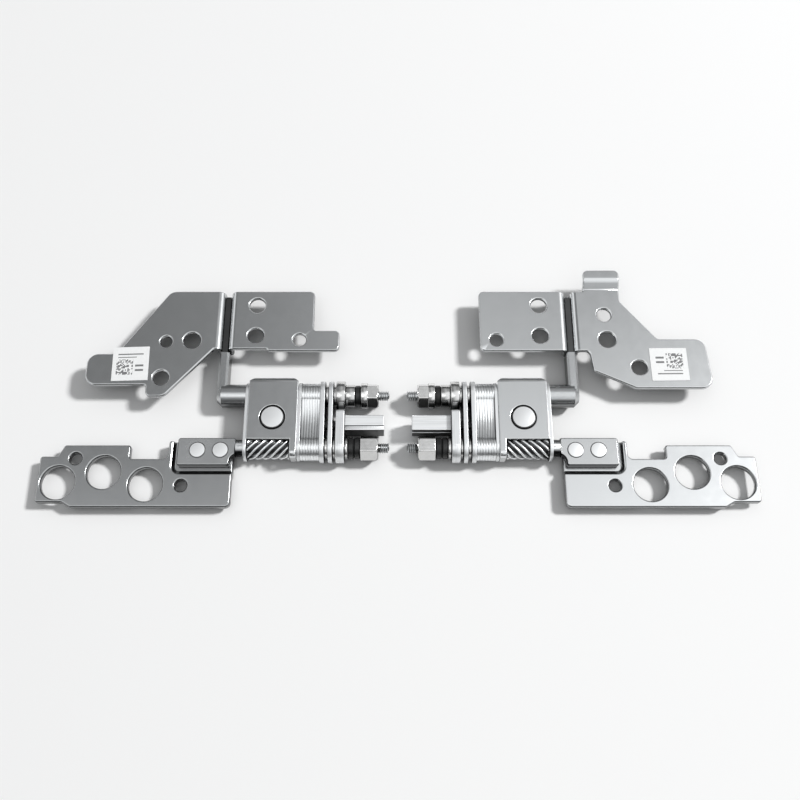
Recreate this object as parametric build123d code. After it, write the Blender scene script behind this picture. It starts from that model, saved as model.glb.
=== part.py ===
from build123d import *
import math
import os

# Mirrored pair of dual-shaft laptop hinges, lying flat with the lid side opened to 180 degrees.
# X runs along the shafts, Y points to the lid brackets, Z is up and the table is at Z = 0.
# Every piece is drawn for the hinge on the +X side. The other hinge is its mirror image, apart
# from the lid bracket, which has its own outline on each side. All sizes are in millimetres.

# Gear train: two shaft gears and one idler, all cut at 45 degrees with the same hand
GEAR_MODULE = 0.36
SHAFT_TEETH = 8
IDLER_TEETH = 15
GEAR_ADDENDUM = 0.21
GEAR_DEDENDUM = 0.27
GEAR_BACKLASH = 0.09
FLANK_SLOPE = 0.5
BASE_GEAR_LENGTH = 6.2
LID_GEAR_LENGTH = 1.8
IDLER_HEIGHT = 1.7

# Running fits
RUN_CLEARANCE = 0.04
AXIAL_PLAY = 0.03
TOOTH_CLEARANCE = 0.07
REAR_CLEARANCE = 0.3

# Stack along the shafts, from the threaded tips outward
TIP_TO_MIDDLE = 1.3
TIP_LENGTH = 1.6
NUT_LENGTH = 2.6
NUT_FLATS = 3.3
NUT_CHAMFER = 0.3
NUT_FLANGE_LENGTH = 0.95
NUT_FLANGE_R = 1.95
PRELOAD_LENGTH = 2.35
SPRING_R = 1.58
SPRING_T = 0.3
SPRING_CONE = 0.17
SPRING_ROOT = 0.12
LID_SPRING_PAIRS = 1
BASE_SPRING_PAIRS = 2
SPACER_R = 1.7
STOP_T = 1.3
COLLAR_R = 2.2
INNER_WASHER_T = 0.45
OUTER_WASHER_T = 0.55
WASHER_R = 1.6
LINK_B_T = 0.65
LINK_A_T = 0.7
LINK_R = 2.2
FRICTION_PITCH = 0.4
FRICTION_COUNT = 7
SEAM_WIDTH = 0.06
SEAM_DEPTH = 0.1
FRICTION_R = 1.87
FRICTION_WAIST = 1.45
END_PLATE_T = 0.5
END_PLATE_R = 1.95
COVER_LENGTH = 7.3
JOURNAL_LENGTH = 2.95
NECK_LENGTH = 1.25

# Shafts
JOURNAL_R = 1.75
SHAFT_R = 1.25
SHAFT_FLAT = 1.0
THREAD_R = 0.65
THREAD_CHAMFER = 0.35

# Lid arm, a squared bar that turns off the end of the lid shaft
ARM_WIDTH = 1.5
ARM_HALF_HEIGHT = 1.4
ARM_CHAMFER = 0.32
ELBOW_CHAMFER = 0.7
BLADE_HEIGHT = 1.25
BLADE_END_GAP = 0.8
ARM_GAP = 0.15

# Gear cover, a sheet folded round the gears, with a leg over the base shaft
COVER_T = 0.4
COVER_BEND_R = 0.9
COVER_FRONT = 0.75
COVER_REAR_CUT = 0.7
LEG_WIDTH = 0.95
LEG_REACH = 1.95
LEG_DROP = 0.6
AXLE_R = 1.55
AXLE_WINDOW_R = 1.9
AXLE_STUB_R = 1.0
AXLE_FLANGE_R = 2.0
AXLE_RECESS = 0.05

# Stop block between the two nuts
BLOCK_DEPTH = 2.4
BLOCK_HALF_HEIGHT = 1.4
BLOCK_OFFSET = -0.6
BLOCK_LENGTH = 5.8
BLOCK_GROOVE = 0.35
BLOCK_GROOVE_DEPTH = 0.25
BLOCK_GROOVE_INSET = 0.55
BLOCK_CHAMFER = 0.12
TENON_SIDE = 1.0
STOP_PLATE_TOP = 1.2
STOP_PLATE_CORNER = 0.4

# Base bracket, a flat sheet with a lowered pad. Its stretches run outward from the inner end
BASE_T = 1.2
BASE_INSET = 0.35
BASE_PAD_LENGTH = 9.5
BASE_WAIST_LENGTH = 5.6
BASE_EAR_LENGTH = 9.7
BASE_EAR_SLOPE = 0.9
BASE_END_LENGTH = 2.5
BASE_FRONT_CUT = 5.2
BASE_NOTCH = 1.25
BASE_FRONT = 8.88
BASE_END_FRONT = 8.14
BASE_END_BACK = 1.2
BASE_EAR_BACK = 0.54
BASE_WAIST_BACK = 1.57
BASE_PAD_BACK = 1.2
PAD_EDGE = 0.9
PAD_FRONT = 3.5
STEP_RUN = 0.35
STEP_WALL = 0.9

# Base bracket holes, each from the edges beside it
BASE_HOLE_R = 2.5
OUTER_HOLE_FROM_END = 3.0
OUTER_HOLE_FROM_FRONT = 2.94
MIDDLE_HOLE_FROM_EAR = 3.6
MIDDLE_HOLE_FROM_BACK = 4.18
INNER_HOLE_FROM_PAD = 2.95
INNER_HOLE_FROM_FRONT = 3.38
BASE_PIN_HOLE_R = 0.9
EAR_PIN_FROM_END = 1.8
EAR_PIN_FROM_BACK = 2.08
PAD_PIN_FROM_END = 2.2
PAD_PIN_FROM_FRONT = 3.24

# Corners of the stamped sheets
TIGHT_R = 0.4
CORNER_R = 0.8
ROUND_R = 1.7

# Tongue of the base shaft, riveted to the pad
TONGUE_T = 1.2
TONGUE_LENGTH = 8.4
TONGUE_BACK = 1.45
TONGUE_FRONT = 2.75
TONGUE_NECK_BACK = 1.05
TONGUE_NECK_FRONT = 1.0
TONGUE_CORNER_R = 0.35
TONGUE_FILLET_R = 1.2
TONGUE_SHOULDER = 0.8
RIVET_R = 1.05
RIVET_PROUD = 0.05
RIVET_FROM_END = [2.15, 5.5]
RIVET_FRONT = 0.45

# Lid brackets, folded sheets, measured from the arm's middle plane and the lid shaft
LID_T = 0.8
LID_RISE = 1.6
LID_BACK = 17.0
LID_FRONT = 6.8
FOLD_R = 1.0
FOLD_DEPTH = 2.7
SEAT_CLEARANCE = 0.04
BLADE_T = 0.8
SCREW_R = 1.22
SCREW_FROM_ARM = 4.6
SCREW_FROM_BACK = 2.5
SCREW_FROM_FRONT = 2.55
PIN_R = 1.0
PIN_FROM_ARM = 11.3
PIN_FROM_FRONT = 1.85

# Left lid bracket: an inner wing with a tab, and a slanted outer wing with a nose and a tab
LEFT_JOG = 0.3
LEFT_JOG_X = 6.35
LEFT_INNER_LENGTH = 13.45
LEFT_INNER_TAB_LENGTH = 3.95
LEFT_INNER_TAB_DEPTH = 3.45
LEFT_SLANT_START = 8.9
LEFT_SLANT_RUN = 7.4
LEFT_TAB_LENGTH = 4.3
LEFT_TAB_FRONT = 1.2
LEFT_TAB_DEPTH = 5.15
LEFT_NOSE_X = 8.6
LEFT_NOSE_WIDTH = 2.75
LEFT_NOSE_DROP = 1.86
LEFT_OUTER_HOLES = [(8.95, 8.35, 0.9), (5.05, 8.55, 1.3), (9.25, 2.4, 1.18)]

# Right lid bracket: a plain inner wing, and an outer wing with a stepped tab at the back
RIGHT_INNER_LENGTH = 13.85
RIGHT_NECK_DEPTH = 1.8
RIGHT_SLANT_RUN = 5.2
RIGHT_PAD_LENGTH = 7.1
RIGHT_PAD_LEAN = 0.7
RIGHT_PAD_FRONT = 0.68
RIGHT_PAD_DEPTH = 8.14
RIGHT_NOSE_X = 9.3
RIGHT_ROOT_X = 3.15
RIGHT_ROOT_LEAN = 0.4
RIGHT_ROOT_FRONT = 3.5
RIGHT_OUTER_HOLES = [(5.35, 12.9, 1.08), (5.55, 8.7, 1.3), (10.05, 4.05, 1.18)]
HOOK_RISE = 1.0
HOOK_FROM = 2.4
HOOK_TO = 8.0
HOOK_LENGTH = 3.2
HOOK_SLOPE_GAP = 0.3
HOOK_SLOPE_RUN = 1.1
HOOK_BEND_R = 0.35

# Paper labels
LABEL_T = 0.1

# Labels as (x, y, width, depth, turn in degrees on the part)
LEFT_LABEL = (13.95, 4.6, 5.4, 5.5, 1.8)
RIGHT_LABEL = (14.5, 4.5, 5.6, 5.35, 0.5)

# Derived sizes
SHAFT_PITCH_R = GEAR_MODULE * SHAFT_TEETH / 2
IDLER_PITCH_R = GEAR_MODULE * IDLER_TEETH / 2
HALF_SPREAD = SHAFT_PITCH_R + IDLER_PITCH_R
HALF_TOOTH = 180 / SHAFT_TEETH
GEAR_TIP_R = SHAFT_PITCH_R + GEAR_ADDENDUM
AXIS_Z = LINK_R
COVER_INNER = GEAR_TIP_R + TOOTH_CLEARANCE
COVER_OUTER = COVER_INNER + COVER_T
COVER_REAR = HALF_SPREAD + GEAR_TIP_R + REAR_CLEARANCE + COVER_T

# Stations along X, outward from the middle of the pair
NUT_X = TIP_TO_MIDDLE + TIP_LENGTH
PRELOAD_X = NUT_X + NUT_LENGTH
STOP_X = PRELOAD_X + PRELOAD_LENGTH
INNER_WASHER_X = STOP_X + STOP_T
LINK_B_X = INNER_WASHER_X + INNER_WASHER_T
OUTER_WASHER_X = LINK_B_X + LINK_B_T
LINK_A_X = OUTER_WASHER_X + OUTER_WASHER_T
FRICTION_X = LINK_A_X + LINK_A_T
INNER_END_X = FRICTION_X + FRICTION_COUNT * FRICTION_PITCH
COVER_X = INNER_END_X + END_PLATE_T
OUTER_END_X = COVER_X + COVER_LENGTH
JOURNAL_X = OUTER_END_X + END_PLATE_T
ARM_X = JOURNAL_X + JOURNAL_LENGTH
ARM_MIDDLE_X = ARM_X + ARM_WIDTH / 2
TONGUE_X = JOURNAL_X + NECK_LENGTH
BASE_X = TONGUE_X + BASE_INSET
IDLER_X = COVER_X + COVER_LENGTH / 2
SPRING_PAIR = 2 * (SPRING_T + SPRING_CONE)

# Heights
PAD_TOP = AXIS_Z - TONGUE_T / 2
PAD_BOTTOM = PAD_TOP - BASE_T
BASE_TOP = AXIS_Z
LID_TOP = AXIS_Z + LID_RISE
GAP_HALF = BLADE_T / 2 + SEAT_CLEARANCE
FOLD_HALF = GAP_HALF + FOLD_R + LID_T / 4

# Base bracket stations from its inner end
BASE_EAR_FROM = BASE_PAD_LENGTH + BASE_WAIST_LENGTH
BASE_EAR_TO = BASE_EAR_FROM + BASE_EAR_LENGTH
BASE_LENGTH = BASE_EAR_TO + BASE_EAR_SLOPE + BASE_END_LENGTH
BASE_FRONT_LENGTH = BASE_LENGTH - BASE_FRONT_CUT
PAD_LENGTH = BASE_PAD_LENGTH - PAD_EDGE

# The frame's origin is under the middle of the pair's outer box
FRAME_Y = (LID_BACK + HOOK_LENGTH - BASE_FRONT) / 2


def outline(corners):
    """Return a flat face from (x, y, corner radius) points."""
    points = [(x, y) for x, y, _ in corners]
    radii = [radius for _, _, radius in corners]
    return make_face(FilletPolyline(*points, radius=radii, close=True))


def along_x(section, start, length):
    """Extrude a section drawn in (Y, Z) along X from a station."""
    return extrude(Plane.YZ.offset(start) * section, amount=length)


def rod(radius, start, end):
    """Return a round bar on the X axis between two stations."""
    return along_x(Circle(radius), start, end - start)


def on_axis(shape, side):
    """Move a piece from the X axis to the lid shaft (+1) or the base shaft (-1)."""
    return Pos(0, side * HALF_SPREAD, AXIS_Z) * shape


def keyed_section(grow=0.0):
    """Return the shaft section with two flats, grown for a hole that fits it."""
    flats = Rectangle(2 * (SHAFT_FLAT + grow), 4 * SHAFT_R)
    return Circle(SHAFT_R + grow) & flats


def gear_section(teeth):
    """Return a straight-flanked gear section in the plane across its axis."""
    pitch_r = GEAR_MODULE * teeth / 2
    tip_r = pitch_r + GEAR_ADDENDUM
    root_r = pitch_r - GEAR_DEDENDUM
    width = math.pi * GEAR_MODULE / 2 - GEAR_BACKLASH
    tip_width = width - 2 * GEAR_ADDENDUM * FLANK_SLOPE
    root_width = width + 2 * GEAR_DEDENDUM * FLANK_SLOPE
    points = []
    for tooth in range(teeth):
        middle = 2 * math.pi * tooth / teeth
        for radius, chord in (
            (root_r, -root_width),
            (tip_r, -tip_width),
            (tip_r, tip_width),
            (root_r, root_width),
        ):
            angle = middle + chord / 2 / radius
            points.append((radius * math.cos(angle), radius * math.sin(angle)))
    return make_face(Polyline(*points, close=True))


def helical_gear(teeth, length, mesh_at, tooth_at):
    """Return a 45 degree gear on Z from 0 to length, with a tooth at an angle at the mesh height."""
    pitch_r = GEAR_MODULE * teeth / 2
    turn_per_length = math.degrees(1 / pitch_r)
    phase = tooth_at - turn_per_length * mesh_at
    section = Rot(0, 0, phase) * gear_section(teeth)
    return Solid.extrude_linear_with_rotation(
        section.face(), (0, 0, 0), (0, 0, length), turn_per_length * length
    )


def shaft_gear(start, length, tooth_at):
    """Return a shaft gear on the X axis, with a tooth at an angle from +Y where it meets the idler."""
    plane = Plane(origin=(start, 0, 0), x_dir=(0, 1, 0), z_dir=(1, 0, 0))
    return plane * helical_gear(SHAFT_TEETH, length, IDLER_X - start, tooth_at)


def shaft_body(gear_start, gear_length, tooth_at):
    """Return what both shafts share: gear, bearing lengths, flats and threaded tip."""
    tip = rod(THREAD_R, TIP_TO_MIDDLE, PRELOAD_X)
    tip = chamfer(tip.faces().sort_by(Axis.X)[0].edges(), THREAD_CHAMFER)
    keyed = along_x(keyed_section(), PRELOAD_X, FRICTION_X - PRELOAD_X)
    inner = rod(SHAFT_R, FRICTION_X, gear_start)
    gear = shaft_gear(gear_start, gear_length, tooth_at)
    outer = rod(SHAFT_R, gear_start + gear_length, JOURNAL_X + AXIAL_PLAY)
    return tip + keyed + inner + gear + outer



def base_shaft():
    """Return the base shaft with its flattened tongue and a tooth gap toward the idler."""
    gear_start = OUTER_END_X - AXIAL_PLAY - BASE_GEAR_LENGTH
    body = shaft_body(gear_start, BASE_GEAR_LENGTH, HALF_TOOTH)
    neck = rod(SHAFT_R, JOURNAL_X, TONGUE_X)
    end = TONGUE_X + TONGUE_LENGTH
    shoulder = TONGUE_X + TONGUE_SHOULDER
    tongue_face = outline([
        (JOURNAL_X + AXIAL_PLAY, TONGUE_NECK_BACK, 0),
        (TONGUE_X, TONGUE_NECK_BACK, 0),
        (TONGUE_X, TONGUE_BACK, 0),
        (end, TONGUE_BACK, TONGUE_CORNER_R),
        (end, -TONGUE_FRONT, TONGUE_CORNER_R),
        (shoulder, -TONGUE_FRONT, TONGUE_CORNER_R),
        (shoulder, -TONGUE_NECK_FRONT, TONGUE_FILLET_R),
        (JOURNAL_X + AXIAL_PLAY, -TONGUE_NECK_FRONT, 0),
    ])
    for from_end in RIVET_FROM_END:
        tongue_face -= Pos(TONGUE_X + from_end, -RIVET_FRONT) * Circle(RIVET_R)
    tongue = extrude(Plane.XY.offset(-TONGUE_T / 2) * tongue_face, amount=TONGUE_T)
    return on_axis(body + neck + tongue, -1)



def lid_shaft():
    """Return the lid shaft with its squared arm and the blade that sits in the bracket's fold."""
    facing_tooth = IDLER_TEETH % 2 == 0
    tooth_at = 180 + HALF_TOOTH if facing_tooth else 180
    body = shaft_body(IDLER_X - LID_GEAR_LENGTH / 2, LID_GEAR_LENGTH, tooth_at)
    journal = rod(JOURNAL_R, JOURNAL_X + AXIAL_PLAY, ARM_X + ARM_WIDTH)
    journal = chamfer(journal.faces().sort_by(Axis.X)[-1].edges(), ELBOW_CHAMFER)
    arm_length = LID_FRONT - ARM_GAP
    arm = Pos(ARM_MIDDLE_X, arm_length / 2, 0) * Box(ARM_WIDTH, arm_length, 2 * ARM_HALF_HEIGHT)
    arm = chamfer(arm.edges().filter_by(Axis.Y), ARM_CHAMFER)
    blade_bottom = LID_RISE - FOLD_DEPTH + LID_T + SEAT_CLEARANCE
    blade_end = LID_BACK - BLADE_END_GAP
    blade_face = Pos(ARM_MIDDLE_X, blade_bottom + BLADE_HEIGHT / 2) * Rectangle(BLADE_T, BLADE_HEIGHT)
    low_corners = blade_face.vertices().sort_by(Axis.Y)[:2]
    blade_face = fillet(low_corners, BLADE_T / 2 - SEAT_CLEARANCE)
    blade_plane = Plane(origin=(0, blade_end, 0), x_dir=(1, 0, 0), z_dir=(0, -1, 0))
    blade = extrude(blade_plane * blade_face, amount=blade_end - arm_length + ARM_CHAMFER)
    return on_axis(body + journal + arm + blade, 1)



def base_bracket():
    """Return the base bracket: a flat sheet with a lowered pad for the tongue."""
    sheet = outline([
        (0, BASE_PAD_BACK, TIGHT_R),
        (BASE_PAD_LENGTH, BASE_PAD_BACK, TIGHT_R),
        (BASE_PAD_LENGTH, -BASE_WAIST_BACK, CORNER_R),
        (BASE_EAR_FROM, -BASE_WAIST_BACK, TIGHT_R),
        (BASE_EAR_FROM, BASE_EAR_BACK, TIGHT_R),
        (BASE_EAR_TO, BASE_EAR_BACK, TIGHT_R),
        (BASE_EAR_TO + BASE_EAR_SLOPE, -BASE_END_BACK, TIGHT_R),
        (BASE_LENGTH, -BASE_END_BACK, TIGHT_R),
        (BASE_LENGTH, -BASE_END_FRONT, TIGHT_R),
        (BASE_FRONT_LENGTH + BASE_NOTCH, -BASE_END_FRONT, CORNER_R),
        (BASE_FRONT_LENGTH, -BASE_FRONT, TIGHT_R),
        (0, -BASE_FRONT, CORNER_R),
    ])
    holes = [
        (BASE_LENGTH - OUTER_HOLE_FROM_END, OUTER_HOLE_FROM_FRONT - BASE_END_FRONT),
        (BASE_EAR_FROM + MIDDLE_HOLE_FROM_EAR, BASE_EAR_BACK - MIDDLE_HOLE_FROM_BACK),
        (BASE_PAD_LENGTH + INNER_HOLE_FROM_PAD, INNER_HOLE_FROM_FRONT - BASE_FRONT),
    ]
    pin_holes = [
        (BASE_EAR_TO - EAR_PIN_FROM_END, BASE_EAR_BACK - EAR_PIN_FROM_BACK),
        (BASE_PAD_LENGTH - PAD_PIN_FROM_END, PAD_PIN_FROM_FRONT - BASE_FRONT),
    ]
    for x, y in holes:
        sheet -= Pos(x, y) * Circle(BASE_HOLE_R)
    for x, y in pin_holes:
        sheet -= Pos(x, y) * Circle(BASE_PIN_HOLE_R)
    body = extrude(Plane.XY.offset(PAD_BOTTOM) * sheet, amount=BASE_TOP - PAD_BOTTOM)

    # The pad is pressed down: a hollow with a sloped step on top, and the same step below, a wall further out
    beyond = 2 * BASE_T
    hollow_face = outline([
        (-beyond, BASE_PAD_BACK + beyond, 0),
        (PAD_LENGTH, BASE_PAD_BACK + beyond, 0),
        (PAD_LENGTH, -PAD_FRONT, CORNER_R),
        (-beyond, -PAD_FRONT, 0),
    ])
    step_height = BASE_TOP - PAD_TOP
    step_taper = math.degrees(math.atan2(STEP_RUN, step_height))
    body -= extrude(Plane.XY.offset(PAD_TOP) * hollow_face, amount=step_height, taper=-step_taper)
    kept_face = outline([
        (-beyond, BASE_PAD_BACK + beyond, 0),
        (PAD_LENGTH + STEP_WALL, BASE_PAD_BACK + beyond, 0),
        (PAD_LENGTH + STEP_WALL, -PAD_FRONT - STEP_WALL, CORNER_R + STEP_WALL),
        (-beyond, -PAD_FRONT - STEP_WALL, 0),
    ])
    under_face = Rectangle(4 * BASE_LENGTH, 4 * BASE_LENGTH) - kept_face
    body -= extrude(Plane.XY.offset(PAD_BOTTOM) * under_face, amount=BASE_TOP - BASE_T - PAD_BOTTOM)
    for from_end in RIVET_FROM_END:
        body -= Pos(from_end - BASE_INSET, -RIVET_FRONT, PAD_TOP) * Cylinder(RIVET_R, 4 * BASE_T)
    return Pos(BASE_X, -HALF_SPREAD, 0) * body



def base_rivets():
    """Return the two rivets that hold the tongue on the pad, flush below."""
    length = TONGUE_T + BASE_T + RIVET_PROUD
    rivets = []
    for from_end in RIVET_FROM_END:
        place = Pos(TONGUE_X + from_end, -HALF_SPREAD - RIVET_FRONT, PAD_BOTTOM + length / 2)
        rivets.append(place * Cylinder(RIVET_R, length))
    return Compound(rivets)



def folded_channel(front):
    """Return the narrow U fold between the wings, from the front edge to the back edge."""
    floor_z = LID_RISE - FOLD_DEPTH
    over = outline([
        (-FOLD_HALF, LID_RISE, 0),
        (-GAP_HALF, LID_RISE, FOLD_R),
        (-GAP_HALF, floor_z + LID_T, GAP_HALF * 0.98),
        (GAP_HALF, floor_z + LID_T, GAP_HALF * 0.98),
        (GAP_HALF, LID_RISE, FOLD_R),
        (FOLD_HALF, LID_RISE, 0),
        (FOLD_HALF, LID_RISE - LID_T, 0),
        (GAP_HALF + LID_T, LID_RISE - LID_T, FOLD_R - LID_T),
        (GAP_HALF + LID_T, floor_z, GAP_HALF + LID_T / 2),
        (-GAP_HALF - LID_T, floor_z, GAP_HALF + LID_T / 2),
        (-GAP_HALF - LID_T, LID_RISE - LID_T, FOLD_R - LID_T),
        (-FOLD_HALF, LID_RISE - LID_T, 0),
    ])
    plane = Plane(origin=(0, LID_BACK, 0), x_dir=(1, 0, 0), z_dir=(0, -1, 0))
    return extrude(plane * over, amount=LID_BACK - front)


def lid_wing(corners, holes):
    """Return one flat wing of a lid bracket with its holes, as (x, y, radius)."""
    face = outline(corners)
    for x, y, radius in holes:
        face -= Pos(x, y) * Circle(radius)
    return extrude(Plane.XY.offset(LID_RISE - LID_T) * face, amount=LID_T)


def inner_holes():
    """Return the holes that both lid brackets have beside the fold: two screws and a pin."""
    return [
        (-SCREW_FROM_ARM, LID_BACK - SCREW_FROM_BACK, SCREW_R),
        (-SCREW_FROM_ARM, LID_FRONT + SCREW_FROM_FRONT, SCREW_R),
        (-PIN_FROM_ARM, LID_FRONT + PIN_FROM_FRONT, PIN_R),
    ]


def left_lid_bracket():
    """Return the left lid bracket: a slanted outer wing with a tab, and an inner wing with a tab."""
    front = LID_FRONT + LEFT_JOG
    tab_back = LEFT_TAB_FRONT + LEFT_TAB_DEPTH
    slant_end = LEFT_SLANT_START + LEFT_SLANT_RUN
    tab_end = slant_end + LEFT_TAB_LENGTH
    nose_end = LEFT_NOSE_X + LEFT_NOSE_WIDTH
    nose_front = LEFT_TAB_FRONT - LEFT_NOSE_DROP
    outer_wing = lid_wing([
        (FOLD_HALF, LID_BACK, 0),
        (LEFT_SLANT_START, LID_BACK, ROUND_R),
        (slant_end, tab_back, ROUND_R),
        (tab_end, tab_back, ROUND_R),
        (tab_end, LEFT_TAB_FRONT, ROUND_R),
        (nose_end, LEFT_TAB_FRONT, TIGHT_R),
        (nose_end, nose_front, CORNER_R),
        (LEFT_NOSE_X, nose_front, ROUND_R),
        (FOLD_HALF, front, 0),
    ], LEFT_OUTER_HOLES)
    inner_end = LEFT_INNER_LENGTH + LEFT_INNER_TAB_LENGTH
    inner_tab_back = LID_FRONT + LEFT_INNER_TAB_DEPTH
    inner_wing = lid_wing([
        (-FOLD_HALF, LID_BACK, 0),
        (-FOLD_HALF, front, 0),
        (-LEFT_JOG_X, front, 0),
        (-LEFT_JOG_X - LEFT_JOG, LID_FRONT, 0),
        (-inner_end, LID_FRONT, CORNER_R),
        (-inner_end, inner_tab_back, CORNER_R),
        (-LEFT_INNER_LENGTH, inner_tab_back, TIGHT_R),
        (-LEFT_INNER_LENGTH, LID_BACK, CORNER_R),
    ], inner_holes())
    body = outer_wing + inner_wing + folded_channel(front)
    return on_axis(Pos(ARM_MIDDLE_X, 0, 0) * body, 1)


def hook_tab():
    """Return the stepped tab: it rises from the outer wing's back edge and runs on level."""
    top = LID_RISE + HOOK_RISE
    root = LID_BACK - LID_T
    slope_start = LID_BACK + HOOK_SLOPE_GAP
    slope_end = slope_start + HOOK_SLOPE_RUN
    end = LID_BACK + HOOK_LENGTH
    under = LID_T * math.tan(math.atan2(HOOK_RISE, HOOK_SLOPE_RUN) / 2)
    outside_r = HOOK_BEND_R + LID_T
    section = outline([
        (root, LID_RISE - LID_T, 0),
        (slope_start + under, LID_RISE - LID_T, outside_r),
        (slope_end + under, top - LID_T, HOOK_BEND_R),
        (end, top - LID_T, 0),
        (end, top, 0),
        (slope_end, top, outside_r),
        (slope_start, LID_RISE, HOOK_BEND_R),
        (root, LID_RISE, 0),
    ])
    tab = along_x(section, HOOK_FROM, HOOK_TO - HOOK_FROM)
    corners = tab.edges().filter_by(Axis.Z).sort_by(Axis.Y)[-2:]
    return fillet(corners, CORNER_R)


def right_lid_bracket():
    """Return the right lid bracket: a plain inner wing, and an outer wing with a stepped tab."""
    slant_end = HOOK_TO + RIGHT_SLANT_RUN
    pad_end = slant_end + RIGHT_PAD_LENGTH
    pad_back = RIGHT_PAD_FRONT + RIGHT_PAD_DEPTH
    outer_wing = lid_wing([
        (FOLD_HALF, LID_BACK, 0),
        (HOOK_TO, LID_BACK, 0),
        (HOOK_TO, LID_BACK - RIGHT_NECK_DEPTH, CORNER_R),
        (slant_end, pad_back, CORNER_R),
        (pad_end, pad_back, ROUND_R),
        (pad_end + RIGHT_PAD_LEAN, RIGHT_PAD_FRONT, ROUND_R),
        (RIGHT_NOSE_X, RIGHT_PAD_FRONT, CORNER_R),
        (RIGHT_ROOT_X, RIGHT_ROOT_FRONT, TIGHT_R),
        (RIGHT_ROOT_X - RIGHT_ROOT_LEAN, LID_FRONT, CORNER_R),
        (FOLD_HALF, LID_FRONT, 0),
    ], RIGHT_OUTER_HOLES)
    inner_wing = lid_wing([
        (-FOLD_HALF, LID_BACK, 0),
        (-FOLD_HALF, LID_FRONT, 0),
        (-RIGHT_INNER_LENGTH, LID_FRONT, CORNER_R),
        (-RIGHT_INNER_LENGTH, LID_BACK, CORNER_R),
    ], inner_holes())
    body = outer_wing + inner_wing + hook_tab() + folded_channel(LID_FRONT)
    return on_axis(Pos(ARM_MIDDLE_X, 0, 0) * body, 1)



def lid_label(place):
    """Return a thin paper label lying on the outer wing."""
    x, y, width, depth, turn = place
    label = Rot(0, 0, turn) * Box(width, depth, LABEL_T)
    return on_axis(Pos(ARM_MIDDLE_X + x, y, LID_RISE + LABEL_T / 2) * label, 1)


def gear_cover():
    """Return the folded gear cover with its axle window, stub hole and leg."""
    front = -HALF_SPREAD + COVER_FRONT
    shell = outline([
        (front, -COVER_OUTER, 0),
        (COVER_REAR, -COVER_OUTER, COVER_BEND_R),
        (COVER_REAR, COVER_OUTER, COVER_BEND_R),
        (front, COVER_OUTER, 0),
    ])
    shell -= outline([
        (front - COVER_T, -COVER_INNER, 0),
        (COVER_REAR - COVER_T, -COVER_INNER, COVER_BEND_R - COVER_T),
        (COVER_REAR - COVER_T, COVER_INNER, COVER_BEND_R - COVER_T),
        (front - COVER_T, COVER_INNER, 0),
    ])
    body = along_x(shell, COVER_X, COVER_LENGTH)
    cut = COVER_REAR_CUT
    plan = Polygon(
        (0, front),
        (COVER_LENGTH, front),
        (COVER_LENGTH, COVER_REAR - cut),
        (COVER_LENGTH - cut, COVER_REAR),
        (cut, COVER_REAR),
        (0, COVER_REAR - cut),
        align=None,
    )
    body &= Pos(COVER_X, 0, -2 * COVER_OUTER) * extrude(plan, amount=4 * COVER_OUTER)
    reach = -HALF_SPREAD - LEG_REACH
    leg_section = outline([
        (front, COVER_OUTER, 0),
        (reach, COVER_OUTER, COVER_BEND_R),
        (reach, -LEG_DROP, 0),
        (reach + COVER_T, -LEG_DROP, 0),
        (reach + COVER_T, COVER_INNER, COVER_BEND_R - COVER_T),
        (front, COVER_INNER, 0),
    ])
    body += along_x(leg_section, COVER_X, LEG_WIDTH)
    body -= Pos(IDLER_X, 0, COVER_OUTER) * Cylinder(AXLE_WINDOW_R, 2 * COVER_OUTER)
    body -= Pos(IDLER_X, 0, -COVER_OUTER) * Cylinder(AXLE_STUB_R, 2 * COVER_OUTER)
    return Pos(0, 0, AXIS_Z) * body


def twin_bores(clearance_r):
    """Return the two shaft bores of a link or end plate, as a section."""
    bores = Sketch()
    for side in (-1, 1):
        bores += Pos(side * HALF_SPREAD, 0) * Circle(clearance_r)
    return bores


def end_plate(start):
    """Return an end plate of the gear case, with a bearing for each shaft."""
    section = SlotCenterToCenter(2 * HALF_SPREAD, 2 * END_PLATE_R) - twin_bores(SHAFT_R + RUN_CLEARANCE)
    return Pos(0, 0, AXIS_Z) * along_x(section, start, END_PLATE_T)


def idler_axle():
    """Return the idler's fixed axle: a stub in the cover's floor, a flange and the journal."""
    flange_top = -IDLER_HEIGHT / 2 - AXIAL_PLAY
    journal_top = COVER_OUTER - AXLE_RECESS
    stub = Pos(0, 0, -COVER_OUTER) * extrude(Circle(AXLE_STUB_R), amount=COVER_T)
    flange = Pos(0, 0, -COVER_INNER) * extrude(Circle(AXLE_FLANGE_R), amount=COVER_INNER + flange_top)
    journal = Pos(0, 0, flange_top) * extrude(Circle(AXLE_R), amount=journal_top - flange_top)
    return Pos(IDLER_X, 0, AXIS_Z) * (stub + flange + journal)


def idler_gear():
    """Return the idler gear, free on its axle, with a tooth toward the base shaft."""
    plane = Plane(origin=(IDLER_X, 0, AXIS_Z - IDLER_HEIGHT / 2), x_dir=(0, 1, 0), z_dir=(0, 0, 1))
    gear = plane * helical_gear(IDLER_TEETH, IDLER_HEIGHT, IDLER_HEIGHT / 2, 180)
    return gear - Pos(IDLER_X, 0, AXIS_Z) * Cylinder(AXLE_R + RUN_CLEARANCE, 2 * IDLER_HEIGHT)


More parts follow.
